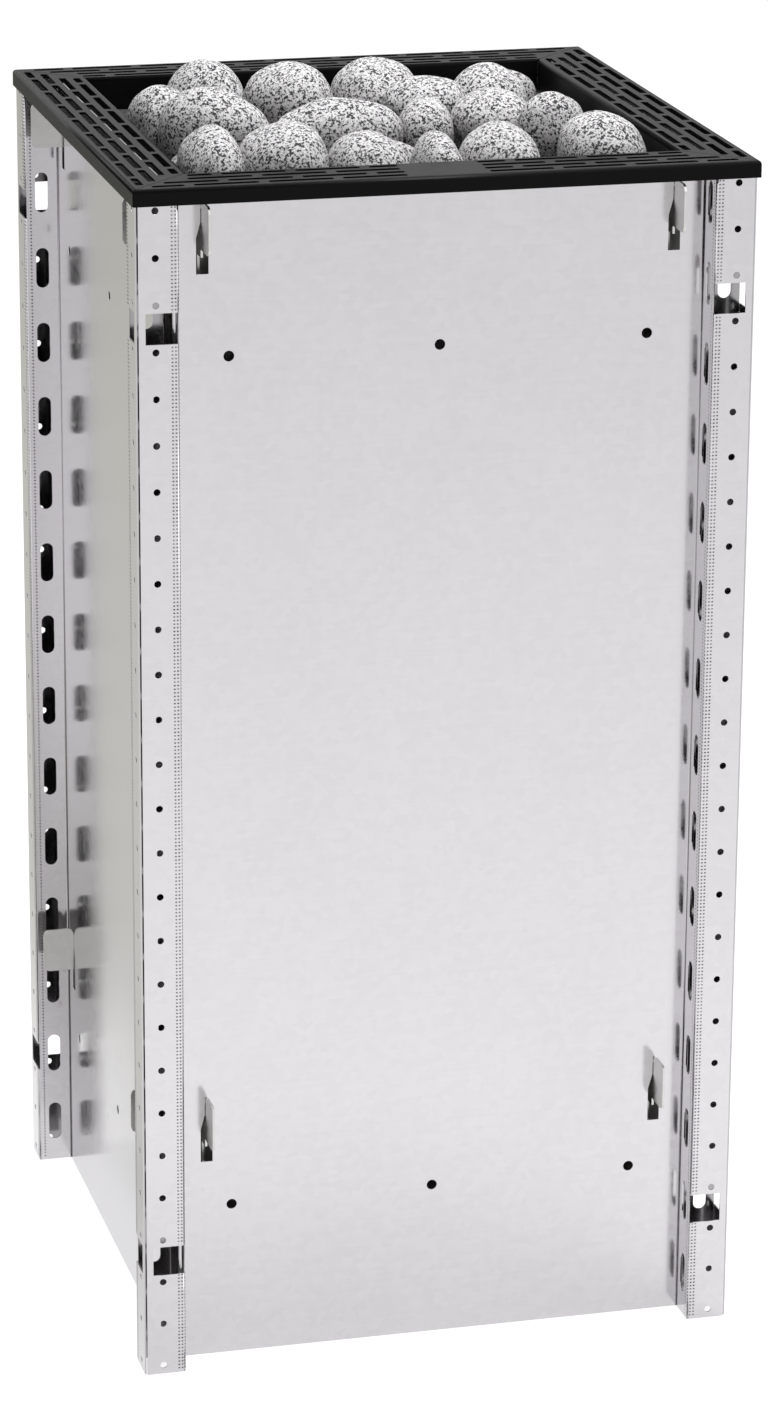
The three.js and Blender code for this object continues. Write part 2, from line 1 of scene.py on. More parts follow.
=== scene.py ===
# %% [markdown]
# # A sauna stove with an open casing
# The real object is a square column of galvanised sheet. Four folded sheets stand around an inner
# container, a black slotted rim sits on top like a lid, and granite stones fill the opening.
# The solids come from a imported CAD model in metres. They could be shown as they are, but their round
# holes have six sides and their bends are sharp, so the visible sheets and stones are made again here.

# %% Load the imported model
import math

import bmesh
import bpy
from mathutils import Matrix, Vector, noise


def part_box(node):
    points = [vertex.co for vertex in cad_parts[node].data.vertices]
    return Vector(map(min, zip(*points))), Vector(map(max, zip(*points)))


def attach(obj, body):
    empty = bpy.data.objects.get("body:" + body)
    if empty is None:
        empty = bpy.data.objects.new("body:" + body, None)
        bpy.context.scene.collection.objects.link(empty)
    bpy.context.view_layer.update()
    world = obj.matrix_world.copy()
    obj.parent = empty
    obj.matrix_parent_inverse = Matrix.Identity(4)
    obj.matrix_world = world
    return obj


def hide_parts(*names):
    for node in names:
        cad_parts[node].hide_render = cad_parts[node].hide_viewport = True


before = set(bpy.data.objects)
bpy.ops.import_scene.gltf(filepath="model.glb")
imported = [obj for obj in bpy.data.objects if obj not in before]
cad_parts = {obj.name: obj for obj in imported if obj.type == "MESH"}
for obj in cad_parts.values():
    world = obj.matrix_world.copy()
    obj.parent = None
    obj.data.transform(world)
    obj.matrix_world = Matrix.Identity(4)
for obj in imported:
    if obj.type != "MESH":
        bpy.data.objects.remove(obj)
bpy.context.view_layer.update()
MM = 0.001

# %% [markdown]
# ## Camera
# The photograph looks down on the front and the left side from a few metres away with a long lens.
# The view could be matched by eye, but measuring corners of the rim and feet of the posts and solving
# for the camera gives the same angle every time. Only the solved numbers are needed here.

# %% Make the camera
PHOTO_HEIGHT = 1422
FOCAL_PIXELS = 5097
SENSOR_WIDTH = 36
AZIMUTH, ELEVATION, ROLL = math.radians(-14.5), math.radians(17.9), math.radians(0.37)
TARGET = Vector((10.9, 0, 383.8)) * MM
DISTANCE = 3.499


def make_camera():
    camera = bpy.data.objects.new("camera", bpy.data.cameras.new("camera"))
    bpy.context.collection.objects.link(camera)
    camera.data.sensor_width = SENSOR_WIDTH
    camera.data.lens = FOCAL_PIXELS * SENSOR_WIDTH / PHOTO_HEIGHT
    back = Vector((
        math.sin(AZIMUTH) * math.cos(ELEVATION),
        -math.cos(AZIMUTH) * math.cos(ELEVATION),
        math.sin(ELEVATION),
    ))
    level_right = Vector((0, 0, 1)).cross(back).normalized()
    level_up = back.cross(level_right)
    right = level_right * math.cos(ROLL) + level_up * math.sin(ROLL)
    up = back.cross(right)
    camera.matrix_world = Matrix((right, up, back)).transposed().to_4x4()
    camera.location = TARGET + back * DISTANCE
    bpy.context.scene.camera = camera
    return camera


print("lens:", round(make_camera().data.lens, 1), "mm")

# %% [markdown]
# ## Helpers for node trees
# Finishes and repeated holes are both built from nodes. Writing each node by hand takes three lines,
# so small helpers make a node with its settings, join sockets by name, start a group and mix two colours.
# A Mix node has sockets for every type of data under the same names, so its colours are found by place.

# %% Node helpers
MIX_FIRST, MIX_SECOND, MIX_RESULT = 6, 7, 2


def add_node(tree, kind, values=None, **settings):
    node = tree.nodes.new(kind)
    for key, value in settings.items():
        setattr(node, key, value)
    for key, value in (values or {}).items():
        node.inputs[key].default_value = value
    return node


def join(tree, source, output, target, name):
    tree.links.new(source.outputs[output], target.inputs[name])


def start_group(kind, name, inputs, outputs):
    tree = bpy.data.node_groups.new(name, kind)
    for label, socket, value in inputs:
        made = tree.interface.new_socket(label, in_out="INPUT", socket_type=socket)
        if value is not None:
            made.default_value = value
    for label, socket in outputs:
        tree.interface.new_socket(label, in_out="OUTPUT", socket_type=socket)
    return tree, tree.nodes.new("NodeGroupInput"), tree.nodes.new("NodeGroupOutput")


def mix_colours(tree, factor, first, second, blend="MIX"):
    mix = add_node(tree, "ShaderNodeMix", {"Factor": 1.0}, data_type="RGBA", blend_type=blend)
    if factor is not None:
        tree.links.new(factor, mix.inputs[0])
    for place, side in ((MIX_FIRST, first), (MIX_SECOND, second)):
        if isinstance(side, tuple):
            mix.inputs[place].default_value = (*side, 1)
        else:
            tree.links.new(side, mix.inputs[place])
    return mix.outputs[MIX_RESULT]


print("helpers:", [helper.__name__ for helper in (add_node, join, start_group, mix_colours)])

# %% [markdown]
# ## Rolled zinc
# Galvanised sheet is bright but never a clean mirror. Rolling leaves very fine level lines, the zinc
# freezes in pale crystals a few millimetres wide, and the coat is a little cloudy over a hand's width.
# One shader group makes all three from Object coordinates. Noise squeezed along Z turns into level
# lines on every upright face, whichever way the sheet is turned.

# %% The rolled zinc group
FLOAT = "NodeSocketFloat"
LINE_SQUEEZE = (0.03, 0.03, 1)
CRYSTAL_SHARE, CLOUD_SHARE = 0.4, 0.4


def build_rolled_zinc():
    tree, inputs, outputs = start_group(
        "ShaderNodeTree", "rolled zinc",
        [("Line Scale", FLOAT, 700.0), ("Crystal Scale", FLOAT, 190.0), ("Cloud Scale", FLOAT, 9.0)],
        [("Tone", FLOAT), ("Height", FLOAT)],
    )
    place = add_node(tree, "ShaderNodeTexCoord")
    squeeze = add_node(tree, "ShaderNodeMapping", {"Scale": LINE_SQUEEZE})
    lines = add_node(tree, "ShaderNodeTexNoise", {"Detail": 3.0, "Roughness": 0.6})
    crystals = add_node(tree, "ShaderNodeTexVoronoi", {"Randomness": 1.0})
    cloud = add_node(tree, "ShaderNodeTexNoise", {"Detail": 2.0, "Roughness": 0.55})
    join(tree, place, "Object", squeeze, "Vector")
    join(tree, squeeze, "Vector", lines, "Vector")
    join(tree, place, "Object", crystals, "Vector")
    join(tree, place, "Object", cloud, "Vector")
    join(tree, inputs, "Line Scale", lines, "Scale")
    join(tree, inputs, "Crystal Scale", crystals, "Scale")
    join(tree, inputs, "Cloud Scale", cloud, "Scale")
    grey = add_node(tree, "ShaderNodeSeparateColor")
    join(tree, crystals, "Color", grey, "Color")
    fine = add_node(tree, "ShaderNodeMix", {"Factor": CRYSTAL_SHARE})
    join(tree, lines, "Fac", fine, "A")
    join(tree, grey, "Red", fine, "B")
    tone = add_node(tree, "ShaderNodeMix", {"Factor": CLOUD_SHARE})
    join(tree, fine, "Result", tone, "A")
    join(tree, cloud, "Fac", tone, "B")
    join(tree, tone, "Result", outputs, "Tone")
    join(tree, lines, "Fac", outputs, "Height")
    return tree


ROLLED_ZINC = build_rolled_zinc()
print("group:", ROLLED_ZINC.name)

# %% [markdown]
# ## Sheet metals
# Casing, container and inner plates are all coated sheet, only brighter or duller. Each material holds
# its own Principled shader, and the shared group only drives base colour, roughness and a slight bump.
# A plain grey metal would look like paint here, because the eye reads the lines as rolled steel.
# The casing is painted darker on its inner side and in the inner fold between panel and web: painted shade
# for the shadow inside the casing and in that crease. Two materials on one sheet would do it with a
# hard edge, so an attribute of the mesh marks those points, and the colour is mixed by it.

# %% Sheet metal materials
DARK_STOP, PALE_STOP = 0.3, 0.7
SKIN_DEPTH = 0.2 * MM
PAINTED_SHADE = "painted shade"


def start_material(name):
    material = bpy.data.materials.new(name)
    material.use_nodes = True
    tree = material.node_tree
    return material, tree, tree.nodes["Principled BSDF"]


def colour_and_gloss(tree, source, output, tones, gloss, shader):
    ramp = add_node(tree, "ShaderNodeValToRGB")
    for stop, position, tone in zip(ramp.color_ramp.elements, (DARK_STOP, PALE_STOP), tones):
        stop.position = position
        stop.color = (*tone, 1)
    levels = add_node(tree, "ShaderNodeMapRange", {"From Min": DARK_STOP, "From Max": PALE_STOP})
    levels.inputs["To Min"].default_value, levels.inputs["To Max"].default_value = gloss
    join(tree, source, output, ramp, "Fac")
    join(tree, source, output, levels, "Value")
    join(tree, ramp, "Color", shader, "Base Color")
    join(tree, levels, "Result", shader, "Roughness")


def bump_from(tree, source, output, strength, distance, shader):
    bump = add_node(tree, "ShaderNodeBump", {"Strength": strength, "Distance": distance})
    join(tree, source, output, bump, "Height")
    join(tree, bump, "Normal", shader, "Normal")


def sheet_metal(name, tones, gloss, strength=0.014):
    material, tree, shader = start_material(name)
    zinc = add_node(tree, "ShaderNodeGroup", node_tree=ROLLED_ZINC)
    shader.inputs["Metallic"].default_value = 1
    colour_and_gloss(tree, zinc, "Tone", tones, gloss, shader)
    bump_from(tree, zinc, "Height", strength, SKIN_DEPTH, shader)
    return material


# Painted shade: where the mesh attribute marks it, the base colour is mixed towards a darker tone.
def paint_shade_where_marked(material, darker_tone):
    tree = material.node_tree
    base = tree.nodes["Principled BSDF"].inputs["Base Color"]
    bright = base.links[0].from_socket
    marked = add_node(tree, "ShaderNodeAttribute", attribute_name=PAINTED_SHADE)
    tree.links.new(mix_colours(tree, marked.outputs["Fac"], bright, darker_tone), base)


CASING_ZINC = sheet_metal("galvanised casing", ((0.632, 0.617, 0.637), (0.678, 0.663, 0.683)), (0.12, 0.19))
# Painted shade: the marked inner side and inner fold of the casing take this darker colour.
paint_shade_where_marked(CASING_ZINC, (0.38, 0.37, 0.38))
# Painted shade: the beads are coloured dark for the shadow around each bead.
SHADED_BEAD_ZINC = sheet_metal("beads with painted shade", ((0.05, 0.05, 0.053), (0.3, 0.29, 0.3)), (0.35, 0.45))
CONTAINER_STEEL = sheet_metal(
    "container steel", ((0.62, 0.615, 0.60), (0.70, 0.695, 0.68)), (0.32, 0.42), 0.006,
)
INNER_PLATE = sheet_metal("inner plate", ((0.50, 0.50, 0.51), (0.62, 0.62, 0.63)), (0.25, 0.38))
GRATE_STEEL = sheet_metal("grate steel", ((0.10, 0.098, 0.095), (0.20, 0.195, 0.19)), (0.45, 0.65), 0.2)
print("sheet metals:", [m.name for m in (CASING_ZINC, SHADED_BEAD_ZINC, CONTAINER_STEEL, INNER_PLATE, GRATE_STEEL)])

# %% [markdown]
# ## Black powder coat
# The rim is sprayed with black powder and baked. The coat has a very fine orange-peel skin that breaks
# up reflections, so its flat top looks dark grey under a bright ceiling and its lip looks black.
# Noise half a millimetre wide as a bump gives that skin without any extra faces. Tube, ceramic and plastic
# have a grain of the same kind at another scale, so it is a shared group too.


# %% The fine grain group
def build_fine_grain():
    tree, inputs, outputs = start_group(
        "ShaderNodeTree", "fine grain", [("Grain Scale", FLOAT, 900.0)], [("Grain", FLOAT)],
    )
    place = add_node(tree, "ShaderNodeTexCoord")
    grain = add_node(tree, "ShaderNodeTexNoise", {"Detail": 3.0})
    join(tree, place, "Object", grain, "Vector")
    join(tree, inputs, "Grain Scale", grain, "Scale")
    join(tree, grain, "Fac", outputs, "Grain")
    return tree


FINE_GRAIN = build_fine_grain()
print("group:", FINE_GRAIN.name)

# %% The powder coat and other plain finishes
COAT_SHINE = 0.08


def grained(name, tones, gloss, scale, strength, metallic=0.0):
    material, tree, shader = start_material(name)
    grain = add_node(tree, "ShaderNodeGroup", {"Grain Scale": scale}, node_tree=FINE_GRAIN)
    shader.inputs["Metallic"].default_value = metallic
    colour_and_gloss(tree, grain, "Grain", tones, gloss, shader)
    bump_from(tree, grain, "Grain", strength, SKIN_DEPTH, shader)
    return material


BLACK_COAT = grained("black powder coat", ((0.003,) * 3, (0.007,) * 3), (0.36, 0.48), 1800, 0.2)
BLACK_COAT.node_tree.nodes["Principled BSDF"].inputs["Specular IOR Level"].default_value = COAT_SHINE
ELEMENT_TUBE = grained(
    "oxidised tube", ((0.10, 0.085, 0.07), (0.22, 0.20, 0.18)), (0.4, 0.6), 120, 0.1, 1.0,
)
CERAMIC = grained("terminal ceramic", ((0.66, 0.62, 0.52), (0.76, 0.72, 0.62)), (0.3, 0.45), 300, 0.1)
GLAND_PLASTIC = grained("gland plastic", ((0.012,) * 3, (0.021,) * 3), (0.4, 0.5), 900, 0.15)
print("coats:", BLACK_COAT.name, ELEMENT_TUBE.name, CERAMIC.name, GLAND_PLASTIC.name)

# %% [markdown]
# ## Granite
# The stones are rounded granite: pale grains, some grey ones and sharp black mica flecks, one to three
# millimetres across. Painted dots would be too even. A Voronoi texture cuts space into grains, and each
# grain's random colour picks black, grey or white on a ramp. Bending the coordinates with noise first makes
# the grain edges ragged, as broken crystals are. A second, coarser Voronoi adds the larger mica flecks.
# Below the rim the granite is painted darker towards the bottom, as painted shade for the shadow deep between
# the stones.

# %% The granite group
DARKEST_BELOW, UNSHADED_FROM = 0.765, 0.802
RAGGED_EDGE = (0.002, 0.002, 0.002)


def build_granite():
    tree, inputs, outputs = start_group(
        "ShaderNodeTree", "granite grains", [("Grain Scale", FLOAT, 1250.0), ("Fleck Scale", FLOAT, 740.0)],
        [("Pick", FLOAT), ("Fleck", FLOAT), ("Height", FLOAT), ("Unshaded", FLOAT)],
    )
    place = add_node(tree, "ShaderNodeTexCoord")
    ragged = add_node(tree, "ShaderNodeTexNoise", {"Scale": 900.0, "Detail": 2.0})
    bend = add_node(tree, "ShaderNodeVectorMath", {1: RAGGED_EDGE}, operation="MULTIPLY_ADD")
    join(tree, place, "Object", ragged, "Vector")
    join(tree, ragged, "Color", bend, 0)
    join(tree, place, "Object", bend, 2)
    picks = []
    for size in ("Grain Scale", "Fleck Scale"):
        grains = add_node(tree, "ShaderNodeTexVoronoi", {"Randomness": 1.0})
        pick = add_node(tree, "ShaderNodeSeparateColor")
        join(tree, bend, "Vector", grains, "Vector")
        join(tree, inputs, size, grains, "Scale")
        join(tree, grains, "Color", pick, "Color")
        picks.append(pick)
    join(tree, picks[0], "Red", outputs, "Pick")
    join(tree, picks[1], "Red", outputs, "Fleck")
    join(tree, picks[0], "Green", outputs, "Height")
    # Painted shade: a share that falls from 1 at the rim to 0 deeper down, where the stones lie in shadow.
    parts = add_node(tree, "ShaderNodeSeparateXYZ")
    unshaded_share = add_node(tree, "ShaderNodeMapRange", {"From Min": DARKEST_BELOW, "From Max": UNSHADED_FROM})
    join(tree, place, "Object", parts, "Vector")
    join(tree, parts, "Z", unshaded_share, "Value")
    join(tree, unshaded_share, "Result", outputs, "Unshaded")
    return tree


GRANITE_GRAINS = build_granite()
print("group:", GRANITE_GRAINS.name)

# %% The two granites
GRAIN_BLACK, FLECK_BLACK = (0.03, 0.03, 0.032), (0.025, 0.025, 0.027)
GRAIN_STOPS = ((0.1, 0.04), (0.125, 0.2), (0.21, 0.46), (0.29, 0.68))
GRAIN_GREEN = 0.985
FLECK_SHARE = {"From Min": 0.25, "From Max": 0.27}
PAINTED_SHADE_TONE, UNSHADED_TONE = (0.4, 0.39, 0.385), (1, 1, 1)
STONE_ROUGHNESS = 0.78
GRAIN_BUMP, GRAIN_DEPTH = 0.3, 0.4 * MM


def granite(name, white):
    material, tree, shader = start_material(name)
    grains = add_node(tree, "ShaderNodeGroup", node_tree=GRANITE_GRAINS)
    ramp = add_node(tree, "ShaderNodeValToRGB")
    stops = ramp.color_ramp.elements
    stops[0].color = (*GRAIN_BLACK, 1)
    stops[1].color = (*white, 1)
    for position, shade in GRAIN_STOPS:
        stops.new(position).color = (shade, shade * GRAIN_GREEN, shade, 1)
    join(tree, grains, "Pick", ramp, "Fac")
    flecks = add_node(tree, "ShaderNodeMapRange", FLECK_SHARE)
    join(tree, grains, "Fleck", flecks, "Value")
    colour = mix_colours(tree, flecks.outputs["Result"], FLECK_BLACK, ramp.outputs["Color"])
    # Painted shade: the colour is multiplied darker towards the bottom of the stones.
    painted_shade_mix = mix_colours(tree, grains.outputs["Unshaded"], PAINTED_SHADE_TONE, UNSHADED_TONE)
    tree.links.new(mix_colours(tree, None, colour, painted_shade_mix, "MULTIPLY"), shader.inputs["Base Color"])
    shader.inputs["Roughness"].default_value = STONE_ROUGHNESS
    bump_from(tree, grains, "Height", GRAIN_BUMP, GRAIN_DEPTH, shader)
    return material


TOP_GRANITE = granite("top granite", (0.86, 0.845, 0.855))
# Painted shade: the lower stones are the same granite with a darker white, for the shade deep in the
# container.
SHADED_LOWER_GRANITE = granite("lower granite with painted shade", (0.58, 0.57, 0.575))
print("granites:", TOP_GRANITE.name, SHADED_LOWER_GRANITE.name)

# %% [markdown]
# ## Punched blanks
# On the real stove a sheet is punched flat before it is folded. The same order works here: an outline is
# drawn flat, Geometry Nodes set a grid of round-ended slots on it, and Fill Curve turns outline and slots
# into one face with holes. A boolean for every hole would be slower and leave ragged faces.
# A slot as long as it is wide is a round hole, so this one tree makes flange holes, web slots and all.

# %% The punched blank tree
GEOMETRY = "NodeSocketGeometry"
VECTOR = "NodeSocketVector"
COUNT = "NodeSocketInt"
MATERIAL = "NodeSocketMaterial"
JUST_UNDER_HALF = 0.499


def build_punched_blank():
    tree, inputs, outputs = start_group(
        "GeometryNodeTree", "punched blank",
        [
            ("Outline", GEOMETRY, None), ("Slot Length", FLOAT, 0.01), ("Slot Width", FLOAT, 0.005),
            ("Corner Points", COUNT, 6), ("Start", VECTOR, None), ("Step", VECTOR, None),
            ("Count", COUNT, 1), ("Row Step", VECTOR, None), ("Rows", COUNT, 1), ("Finish", MATERIAL, None),
        ],
        [("Blank", GEOMETRY)],
    )
    edge = add_node(tree, "GeometryNodeMeshToCurve")
    row = add_node(tree, "GeometryNodeMeshLine")
    rows = add_node(tree, "GeometryNodeMeshLine")
    grid = add_node(tree, "GeometryNodeInstanceOnPoints")
    places = add_node(tree, "GeometryNodeRealizeInstances")
    slot = add_node(tree, "GeometryNodeCurvePrimitiveQuadrilateral")
    half = add_node(tree, "ShaderNodeMath", {1: JUST_UNDER_HALF}, operation="MULTIPLY")
    rounded = add_node(tree, "GeometryNodeFilletCurve", {"Limit Radius": True}, mode="POLY")
    punched = add_node(tree, "GeometryNodeInstanceOnPoints")
    slots = add_node(tree, "GeometryNodeRealizeInstances")
    both = add_node(tree, "GeometryNodeJoinGeometry")
    fill = add_node(tree, "GeometryNodeFillCurve", mode="TRIANGLES")
    finish = add_node(tree, "GeometryNodeSetMaterial")
    join(tree, inputs, "Outline", edge, "Mesh")
    join(tree, inputs, "Count", row, "Count")
    join(tree, inputs, "Step", row, "Offset")
    join(tree, inputs, "Rows", rows, "Count")
    join(tree, inputs, "Start", rows, "Start Location")
    join(tree, inputs, "Row Step", rows, "Offset")
    join(tree, rows, "Mesh", grid, "Points")
    join(tree, row, "Mesh", grid, "Instance")
    join(tree, grid, "Instances", places, "Geometry")
    join(tree, inputs, "Slot Width", slot, "Width")
    join(tree, inputs, "Slot Length", slot, "Height")
    join(tree, inputs, "Slot Width", half, 0)
    join(tree, slot, "Curve", rounded, "Curve")
    join(tree, half, "Value", rounded, "Radius")
    join(tree, inputs, "Corner Points", rounded, "Count")
    join(tree, places, "Geometry", punched, "Points")
    join(tree, rounded, "Curve", punched, "Instance")
    join(tree, punched, "Instances", slots, "Geometry")
    join(tree, edge, "Curve", both, "Geometry")
    join(tree, slots, "Geometry", both, "Geometry")
    join(tree, both, "Geometry", fill, "Curve")
    join(tree, fill, "Mesh", finish, "Geometry")
    join(tree, inputs, "Finish", finish, "Material")
    join(tree, finish, "Geometry", outputs, "Blank")
    return tree


PUNCHED_BLANK = build_punched_blank()
print("tree:", PUNCHED_BLANK.name)


# %% Run a tree and keep its plain mesh
def new_piece(name, data):
    piece = bpy.data.objects.new(name, data)
    bpy.context.collection.objects.link(piece)
    return piece


def evaluated_mesh(piece):
    depsgraph = bpy.context.evaluated_depsgraph_get()
    return bpy.data.meshes.new_from_object(piece.evaluated_get(depsgraph), depsgraph=depsgraph)


def keep_result(piece):
    made = evaluated_mesh(piece)
    before = piece.data
    piece.modifiers.clear()
    piece.data = made
    bpy.data.meshes.remove(before)


def add_tree(piece, tree, values):
    modifier = piece.modifiers.new("tree", "NODES")
    modifier.node_group = tree
    for item in tree.interface.items_tree:
        if item.in_out == "INPUT" and item.name in values:
            modifier[item.identifier] = values[item.name]


def run_trees(mesh, *stack):
    worker = new_piece("worker", mesh)
    for tree, values in stack:
        add_tree(worker, tree, values)
    keep_result(worker)
    mesh = worker.data
    bpy.data.objects.remove(worker)
    points = [v.co.copy() for v in mesh.vertices]
    faces = [list(p.vertices) for p in mesh.polygons]
    bpy.data.meshes.remove(mesh)
    return points, faces


print("blank inputs:", [i.name for i in PUNCHED_BLANK.interface.items_tree if i.in_out == "INPUT"])

# %% [markdown]
# ## Folding the casing
# Each casing sheet is one hat-shaped fold: a flat panel, two webs that come forward and two flanges at the
# corners. The folds could be bevelled afterwards, but a bevel stumbles over the holes. Here the three
# flats are punched apart, set in place, joined by narrow strips that follow each bend, and welded at
# their shared edges. Solidify then gives the single surface its thickness of one millimetre.

# %% Sizes of the casing, in millimetres
CASING_TOP = 798.2
SHEET = 1.0
FLANGE_FACE, FLANGE_EDGE = 201.7, 200.1
PANEL_FACE, WEB_FACE = 178.2, 174.2
INNER_BEND, OUTER_BEND = 0.9, 1.3
BEND_STEPS = 4
WINDOWS, WINDOW_EDGE = ((71, 91), (701, 721)), 195.7
KEYHOLES = ((-154.3, 139), (154.3, 139), (-154.3, 739), (154.3, 739))
KEYHOLE_EDGE = ((-4, 0), (-4, 23), (-1.1, 33.5), (-1.1, 41.8))
PANEL_HOLE, PANEL_HOLE_FOOT = 7, 107
PANEL_HOLE_STEP, PANEL_HOLE_RISE = 137.5, 578.5
WEB_SLOT_LENGTH, WEB_SLOT_WIDTH = 28, 9
WEB_SLOT_LINE, WEB_SLOT_FOOT, WEB_SLOT_PITCH, WEB_SLOTS = 189.95, 30, 53, 15
FLANGE_HOLE = 4.6
FLANGE_HOLE_LINE, FLANGE_HOLE_FOOT, FLANGE_HOLE_PITCH, FLANGE_HOLES = 189.2, 6, 30, 27
LARGE_ROUND, SMALL_ROUND = 6, 4
print("casing:", 2 * FLANGE_FACE, "mm wide,", CASING_TOP, "mm high")


# %% Flats of one casing sheet
def outline_mesh(loops):
    points, edges = [], []
    for loop in loops:
        first = len(points)
        points += [(x * MM, y * MM, 0) for x, y in loop]
        edges += [(first + i, first + (i + 1) % len(loop)) for i in range(len(loop))]
    mesh = bpy.data.meshes.new("outline")
    mesh.from_pydata(points, edges, [])
    return mesh


def keyhole(across, foot):
    edge = list(KEYHOLE_EDGE) + [(-x, y) for x, y in reversed(KEYHOLE_EDGE)]
    return [(across + x, foot + y) for x, y in edge]


def punch(loops, length, width, corner_points, start, step, count, row_step=(0, 0), rows=1):
    return run_trees(outline_mesh(loops), (PUNCHED_BLANK, {
        "Slot Length": length * MM, "Slot Width": width * MM, "Corner Points": corner_points,
        "Start": Vector((*start, 0)) * MM, "Step": Vector((*step, 0)) * MM, "Count": count,
        "Row Step": Vector((*row_step, 0)) * MM, "Rows": rows, "Finish": CASING_ZINC,
    }))


def panel_flat():
    half = WEB_FACE - INNER_BEND
    loops = [[(-half, 0), (half, 0), (half, CASING_TOP), (-half, CASING_TOP)]]
    loops += [keyhole(*place) for place in KEYHOLES]
    start, step = (-PANEL_HOLE_STEP, PANEL_HOLE_FOOT), (PANEL_HOLE_STEP, 0)
    return punch(loops, PANEL_HOLE, PANEL_HOLE, LARGE_ROUND, start, step, 3, (0, PANEL_HOLE_RISE), 2)


def web_flat():
    low, high = PANEL_FACE + INNER_BEND, FLANGE_FACE - OUTER_BEND
    breaks = [(high, z) for window in WINDOWS for z in window]
    loop = [(low, 0), (high, 0)] + breaks + [(high, CASING_TOP), (low, CASING_TOP)]
    start, step = (WEB_SLOT_LINE, WEB_SLOT_FOOT), (0, WEB_SLOT_PITCH)
    return punch([loop], WEB_SLOT_LENGTH, WEB_SLOT_WIDTH, LARGE_ROUND, start, step, WEB_SLOTS)


def flange_flat():
    inner = WEB_FACE + OUTER_BEND
    loop = [(inner, 0), (FLANGE_EDGE, 0), (FLANGE_EDGE, CASING_TOP), (inner, CASING_TOP)]
    for low, high in reversed(WINDOWS):
        loop += [(inner, high), (WINDOW_EDGE, high), (WINDOW_EDGE, low), (inner, low)]
    start, step = (FLANGE_HOLE_LINE, FLANGE_HOLE_FOOT), (0, FLANGE_HOLE_PITCH)
    return punch([loop], FLANGE_HOLE, FLANGE_HOLE, SMALL_ROUND, start, step, FLANGE_HOLES)


PANEL_FLAT, WEB_FLAT, FLANGE_FLAT = panel_flat(), web_flat(), flange_flat()
print("faces of panel, web and flange:", [len(flat[1]) for flat in (PANEL_FLAT, WEB_FLAT, FLANGE_FLAT)])

# %% Fold and weld
WELD_REACH = 0.01
FOLD_EDGE, FOLD_SHADE = 0.01, 0.7


def set_flat(flat, place):
    points, faces = flat
    return [place(p.x, p.y) for p in points], faces


def bend_points(centre, radius, start, turn):
    angles = [math.radians(start + turn * i / BEND_STEPS) for i in range(BEND_STEPS + 1)]
    return [(centre[0] + radius * math.cos(a), centre[1] + radius * math.sin(a)) for a in angles]


def bend_strip(profile, stretches):
    points, faces = [], []
    for low, high in stretches:
        first = len(points)
        points += [Vector((u, -n, z)) * MM for u, n in profile for z in (low, high)]
        faces += [[first + 2 * i + k for k in (0, 2, 3, 1)] for i in range(len(profile) - 1)]
    return points, faces


def mirrored(part):
    points, faces = part
    return [Vector((-p.x, p.y, p.z)) for p in points], [face[::-1] for face in faces]


def weld(name, parts):
    points, faces = [], []
    for part_points, part_faces in parts:
        first = len(points)
        points += part_points
        faces += [[first + i for i in face] for face in part_faces]
    mesh = bpy.data.meshes.new(name)
    mesh.from_pydata(points, [], faces)
    shell = bmesh.new()
    shell.from_mesh(mesh)
    bmesh.ops.remove_doubles(shell, verts=shell.verts, dist=WELD_REACH * MM)
    shell.to_mesh(mesh)
    shell.free()
    return mesh


def paint_fold_shade(mesh):
    # Painted shade: the concave fold between panel and web gets part of the darker colour.
    marks = mesh.attributes.new(PAINTED_SHADE, "FLOAT", "POINT")
    for mark, vertex in zip(marks.data, mesh.vertices):
        past_panel = abs(vertex.co.x) / MM - (WEB_FACE - INNER_BEND)
        before_web = PANEL_FACE + INNER_BEND + vertex.co.y / MM
        mark.value = FOLD_SHADE if min(past_panel, before_web) > FOLD_EDGE else 0.0


def casing_surface():
    panel = set_flat(PANEL_FLAT, lambda across, up: Vector((across, -PANEL_FACE * MM, up)))
    web = set_flat(WEB_FLAT, lambda out, up: Vector((WEB_FACE * MM, -out, up)))
    flange = set_flat(FLANGE_FLAT, lambda across, up: Vector((across, -FLANGE_FACE * MM, up)))
    inner = bend_points((WEB_FACE - INNER_BEND, PANEL_FACE + INNER_BEND), INNER_BEND, -90, 90)
    outer = bend_points((WEB_FACE + OUTER_BEND, FLANGE_FACE - OUTER_BEND), OUTER_BEND, 180, -90)
    heights = [0] + [z for window in WINDOWS for z in window] + [CASING_TOP]
    stretches = list(zip(heights[0::2], heights[1::2]))
    half = [web, flange, bend_strip(inner, [(0, CASING_TOP)]), bend_strip(outer, stretches)]
    surface = weld("casing", [panel] + half + [mirrored(part) for part in half])
    paint_fold_shade(surface)
    return surface


CASING_SURFACE = casing_surface()
print("casing surface faces:", len(CASING_SURFACE.polygons))

# %% [markdown]
# ## Beads along the fold
# Tiny flat beads run down beside the fold between web and flange, where the folding tool pressed the sheet:
# two lines on the flange, one on the bend and one on the web. Their dark colour is painted shade for the
# shadow around each bead, which is why they show at all on such a bright sheet. Hundreds of beads are far too
# many to place by hand, so a second tree sets a flattened ball on every point of a line. Twenty faces are
# enough for a bead of one and a half millimetres.

# %% The bead line tree
BEAD_PITCH, BEAD_RADIUS = 2.4, 0.6
FIRST_BEAD, BEAD_MARGIN = 3, 4
BEAD_COLUMNS, WEB_BEADS = (176.5, 178.7), 197.6
BEND_BEADS = OUTER_BEND * (1 - math.sqrt(0.5))
FLANGE_BEAD, WEB_BEAD, BEND_BEAD = (1.35, 0.25, 1.0), (0.25, 1.3, 1.0), (0.6, 0.6, 1.3)


